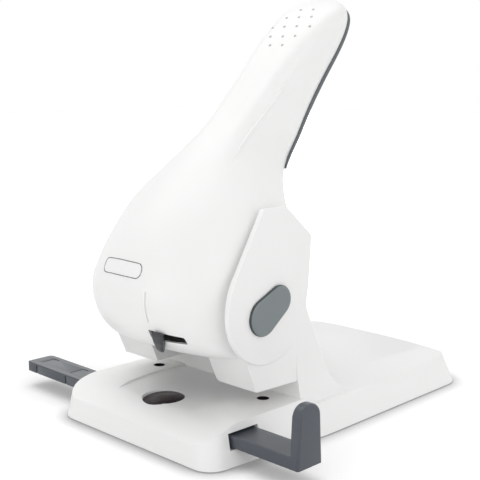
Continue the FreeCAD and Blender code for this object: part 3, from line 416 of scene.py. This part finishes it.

# ---- Oval caps -----------------------------------------------------------------------------------
# Snap-in covers over the axle's ends, low and rounded. The edge is polished and nearly black. The face is
# finely grained and given a paler grey, a painted reflection of the pale surroundings, so it looks paler
# than the edge round it.
cheek_face, cap_flatten, sheen_face_from_x, sheen_face_from_normal = 0.0520, 0.55, 0.0525, 0.72
cap_rim = moulded_plastic("abs_polished_dark_grey", "#3B4144", 0.16, 0.8, 0.03)
# Painted reflection: the face's paler grey stands in for the pale surroundings it reflects.
cap_face_painted_sheen = moulded_plastic("abs_spark_eroded_grey_painted_sheen", "#7A8284", 0.4, 0.5, 0.3)
for side in ("right", "left"):
    cap = welded_copy("oval_cap_" + side, "cap_" + side)
    bpy.ops.object.mode_set(mode="EDIT")
    bpy.ops.mesh.select_all(action="SELECT")
    bpy.ops.transform.resize(value=(cap_flatten, 1.0, 1.0), center_override=(
        cheek_face if side == "right" else -cheek_face, 0.0, 0.0))
    bpy.ops.object.mode_set(mode="OBJECT")
    smooth(cap, 50)
    finish_piece(cap, [cap_rim, cap_face_painted_sheen], "base", "dark_abs", "oval_cap_" + side)
    # The outward faces take the paler grey of the painted reflection; the rest keep the polished edge.
    for face in cap.data.polygons:
        face.material_index = int(abs(face.normal.x) > sheen_face_from_normal
                                  and abs(face.center.x) > sheen_face_from_x)

# ---- Punch mechanism -----------------------------------------------------------------------------
# Folded zinc-plated frame on the legs, the ground axle, and the press bar that drives two hardened pins
# through bronze bushes against their return springs.
spring_steel = metal("steel_spring_wire_drawn", "#6C6F74", 0.22, 0.36, 0.8, 1.0, 0.1)
bronze = metal("bronze_sintered_porous", "#A98A52", 0.45, 0.65, 0.4, 1.0, 0.5)
dress(zinc_steel, "punch_frame", "frame_screws", "press_bar")
dress(ground_steel, "pivot_axle", "punch_pin_right", "punch_pin_left")
dress(spring_steel, "axle_clips", "pin_clips")
for side in ("right", "left"):
    coil = welded_copy("return_spring_" + side, "return_coil_" + side)
    smooth(coil, 40)
    finish_piece(coil, [spring_steel], "base", "spring_steel", "return_spring_" + side)
    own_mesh(coil)
dress(bronze, "guide_bush_right", "guide_bush_left")

# ---- Lever ---------------------------------------------------------------------------------------
# Handle, bulb and skirt in one moulding of the same white ABS, with a sunk line beside the lock.
lever = welded_copy("lever_shell", "lever_moulding")
smooth(lever, 35)
finish_piece(lever, [white_abs], "lever", "white_abs", "lever_shell")

# ---- Label frame ---------------------------------------------------------------------------------
# Thin pad-printed frame on the bulb with rounded corners. The field inside it is left bare.
frame_width, frame_height, frame_line, frame_corner, corner_steps = 0.0296, 0.0082, 0.00042, 0.0033, 8
outline_cuts, ink_above, ink_thick = 20, 0.00006, 0.0001
bpy.ops.mesh.primitive_plane_add(size=1.0, location=(0.0, -0.0594, 0.0908),
                                 rotation=(math.radians(70.0), 0, 0))
label = bpy.context.active_object
label.name = label.data.name = "label_frame"
label.scale = (frame_width, frame_height, 1.0)
bpy.ops.object.transform_apply(location=True, rotation=True, scale=True)
bpy.ops.object.mode_set(mode="EDIT")
bpy.ops.mesh.select_all(action="SELECT")
bpy.ops.mesh.bevel(offset=frame_corner, segments=corner_steps, affect="VERTICES")
bpy.ops.mesh.select_mode(type="EDGE")
bpy.ops.mesh.select_all(action="SELECT")
bpy.ops.mesh.subdivide(number_cuts=outline_cuts)
bpy.ops.mesh.select_mode(type="FACE")
bpy.ops.mesh.select_all(action="SELECT")
bpy.ops.mesh.inset(thickness=frame_line)
bpy.ops.mesh.delete(type="FACE")
bpy.ops.mesh.select_mode(type="VERT")
bpy.ops.object.mode_set(mode="OBJECT")
apply_modifier(label, "SHRINKWRAP", target=lever, wrap_method="NEAREST_SURFACEPOINT", offset=ink_above)
apply_modifier(label, "SOLIDIFY", thickness=ink_thick, offset=0.0)
ink = moulded_plastic("ink_pad_printed_grey", "#6C6E70", 0.5, 0.5, 0.1)
finish_piece(label, [ink], "lever", "dark_abs")

# ---- Grip pips -----------------------------------------------------------------------------------
# Staggered rows of small raised pips under the thumb, moulded in a greyer plastic.
pip_r, pip_height, pip_edge = 0.0008, 0.0006, 0.00025
pip_places = [(x, z) for z, row in (
    (0.2172, (-0.0045, 0.0045)), (0.2123, (-0.0090, 0.0, 0.0090)),
    (0.2070, (-0.0135, -0.0045, 0.0045, 0.0135)),
    (0.2018, (-0.0090, 0.0, 0.0090)), (0.1974, (-0.0045, 0.0045))) for x in row]
thumb_side, start_off = Vector((0.0, -0.62, 0.78)), 0.02
handle_y, handle_z, handle_slope = 0.0733, 0.2153, 1.26
bpy.ops.mesh.primitive_cylinder_add(vertices=20, radius=pip_r, depth=pip_height)
pip = bpy.context.active_object
bpy.ops.object.mode_set(mode="EDIT")
bpy.ops.mesh.select_mode(type="EDGE")
bpy.ops.mesh.select_all(action="SELECT")
bpy.ops.mesh.bevel(offset=pip_edge, segments=3)
bpy.ops.mesh.select_mode(type="VERT")
bpy.ops.object.mode_set(mode="OBJECT")
pips = []
for x, z in pip_places:
    start = Vector((x, handle_y - (handle_z - z) * handle_slope, z)) + thumb_side * start_off
    _, place, normal, _ = lever.ray_cast(start, -thumb_side)
    select_only(pip)
    bpy.ops.object.duplicate()
    copy = bpy.context.active_object
    copy.location = place
    copy.rotation_euler = normal.to_track_quat("Z", "Y").to_euler()
    bpy.ops.object.transform_apply(location=True, rotation=True, scale=True)
    pips.append(copy)
bpy.data.objects.remove(pip)
for copy in pips:
    copy.select_set(True)
bpy.context.view_layer.objects.active = pips[0]
bpy.ops.object.join()
grip_pips = bpy.context.active_object
grip_pips.name = grip_pips.data.name = "grip_pips"
smooth(grip_pips, 50)
pip_plastic = moulded_plastic("tpe_moulded_pale_grey", "#B9B9B6", 0.55, 0.5, 0.1)
finish_piece(grip_pips, [pip_plastic], "lever", "white_abs")

# ---- Grip strip ----------------------------------------------------------------------------------
# Dark elastomer strip that closes the handle's back and cushions the fingers. Its lower end sinks
# into the white moulding, so from the side it looks thinner there.
soft_grip = moulded_plastic("tpe_moulded_dark_grey", "#5F6568", 0.55, 0.6, 0.3)
strip_end, end_sink, sink_reach = 0.1325, 0.0026, 0.022
strip = welded_copy("grip_insert", "grip_strip")
pick(strip, "VERT", lambda vertex: vertex.co.z < strip_end)
bpy.ops.transform.translate(value=(0.0, -end_sink, 0.0), use_proportional_edit=True,
                            proportional_edit_falloff="SMOOTH", proportional_size=sink_reach)
bpy.ops.object.mode_set(mode="OBJECT")
smooth(strip, 35)
finish_piece(strip, [soft_grip], "lever", "grip_grey", "grip_insert")

# ---- Handle creases ------------------------------------------------------------------------------
# Soft round crease down each side of the handle, part of the white moulding and half sunk in it. It
# fades out at both ends.
crease_line = ((0.0217, -0.0037, 0.1379), (0.0202, 0.0005, 0.1415), (0.0186, 0.0057, 0.1456),
               (0.0175, 0.0119, 0.1503), (0.0169, 0.0183, 0.1555), (0.0169, 0.0242, 0.1604),
               (0.0170, 0.0301, 0.1659), (0.0171, 0.0360, 0.1714), (0.0173, 0.0419, 0.1770),
               (0.0176, 0.0470, 0.1822), (0.0180, 0.0505, 0.1858))
crease_radii = (0.0001, 0.0005, 0.0008, 0.0009, 0.0009, 0.0009, 0.0008, 0.0007, 0.0005, 0.0003, 0.0001)
crease_tilt = -48.0
for name, side in (("right", 1), ("left", -1)):
    path = [(side * x, y, z) for x, y, z in crease_line]
    bpy.ops.object.select_all(action="DESELECT")
    bpy.ops.mesh.primitive_circle_add(vertices=12, radius=crease_radii[0], fill_type="NGON",
                                      location=path[0], rotation=(math.radians(crease_tilt), 0.0, 0.0))
    crease = bpy.context.active_object
    crease.name = crease.data.name = "handle_crease_" + name
    bpy.ops.object.transform_apply(location=True, rotation=True, scale=True)
    bpy.ops.object.mode_set(mode="EDIT")
    bpy.ops.mesh.select_mode(type="FACE")
    bpy.ops.mesh.select_all(action="SELECT")
    for here, there, old, new in zip(path, path[1:], crease_radii, crease_radii[1:]):
        bpy.ops.mesh.extrude_region_move(TRANSFORM_OT_translate={
            "value": [b - a for a, b in zip(here, there)]})
        bpy.ops.transform.resize(value=(new / old, new / old, new / old), center_override=there)
    bpy.ops.mesh.select_all(action="SELECT")
    bpy.ops.mesh.normals_make_consistent(inside=False)
    bpy.ops.mesh.select_mode(type="VERT")
    bpy.ops.object.mode_set(mode="OBJECT")
    smooth(crease, 60)
    finish_piece(crease, [white_abs], "lever", "white_abs")

# ---- Lever bracket and roller --------------------------------------------------------------------
# Pressed steel channel screwed into the shell's bosses; its riveted axle carries the hard roller.
dress(zinc_steel, "lever_bracket", "bracket_screws")
dress(ground_steel, "cam_roller", "roller_axle")

# ---- Lock slider ---------------------------------------------------------------------------------
# Black acetal thumb slider in the skirt, and the black guide plate behind its slot. The thumb tab
# lies flat on the skirt, turned a little from square with its path.


def lay(item, turn, shift=(0.0, 0.0, 0.0)):
    """Turns a piece by these degrees about X, Y and Z, shifts it, and applies both."""
    select_only(item)
    item.rotation_mode = "XYZ"
    item.rotation_euler = [math.radians(angle) for angle in turn]
    item.location = shift
    bpy.ops.object.transform_apply(location=True, rotation=True, scale=True)


acetal = moulded_plastic("acetal_moulded_black", "#34363A", 0.32, 0.5, 0.15)
slider = welded_copy("lock_slider", "lock_thumb_slider")
path_turn, path_place, path_back = 20.9, (0.001103, -0.006452, 0.0), (0.001271, 0.006421, 0.0)
wall_lean, tab_inside, tab_turn, tab_middle, tab_shift = 38.8, -0.0005, 14.0, 0.072, 0.0012
lay(slider, (0.0, 0.0, -path_turn), path_back)
lay(slider, (-wall_lean, 0.0, 0.0))
pick(slider, "VERT", lambda vertex: vertex.co.y < tab_inside)
bpy.ops.transform.rotate(value=-math.radians(tab_turn), orient_axis="Y",
                         center_override=(0.0, 0.0, tab_middle))
bpy.ops.transform.translate(value=(tab_shift, 0.0, 0.0))
bpy.ops.object.mode_set(mode="OBJECT")
lay(slider, (wall_lean, 0.0, 0.0))
lay(slider, (0.0, 0.0, path_turn), path_place)
soften_edges(slider, 0.0003, 2, 30)
smooth(slider, 35)
finish_piece(slider, [acetal], "lock", "lock_black", "lock_slider")
guide_turn, guide_left, guide_right, guide_thick = 24.9, -0.0089, 0.0151, 0.0008
guide_line = ((-0.0443, 0.0632), (-0.0410, 0.0580), (-0.0368, 0.0532))
bpy.ops.mesh.primitive_grid_add(x_subdivisions=1, y_subdivisions=2, size=1.0, location=(0, 0, 0))
guide_plate = bpy.context.active_object
guide_plate.name = guide_plate.data.name = "lock_guide_plate"
guide_plate.scale = (guide_right - guide_left, 1.0, 1.0)
guide_plate.location = ((guide_left + guide_right) / 2, 0.0, 0.0)
bpy.ops.object.transform_apply(location=True, rotation=True, scale=True)
for row, (y, z) in zip((-0.5, 0.0, 0.5), guide_line):
    pick(guide_plate, "VERT", lambda vertex: vertex.co.z == 0.0 and abs(vertex.co.y - row) < 0.01)
    bpy.ops.transform.translate(value=(0.0, y - row, z))
bpy.ops.object.mode_set(mode="OBJECT")
apply_modifier(guide_plate, "SOLIDIFY", thickness=guide_thick, offset=0.0)
lay(guide_plate, (0.0, 0.0, guide_turn), path_place)
bpy.ops.object.mode_set(mode="EDIT")
bpy.ops.mesh.select_all(action="SELECT")
bpy.ops.mesh.normals_make_consistent(inside=False)
bpy.ops.object.mode_set(mode="OBJECT")
smooth(guide_plate, 30)
finish_piece(guide_plate, [acetal], "lever", "lock_black")
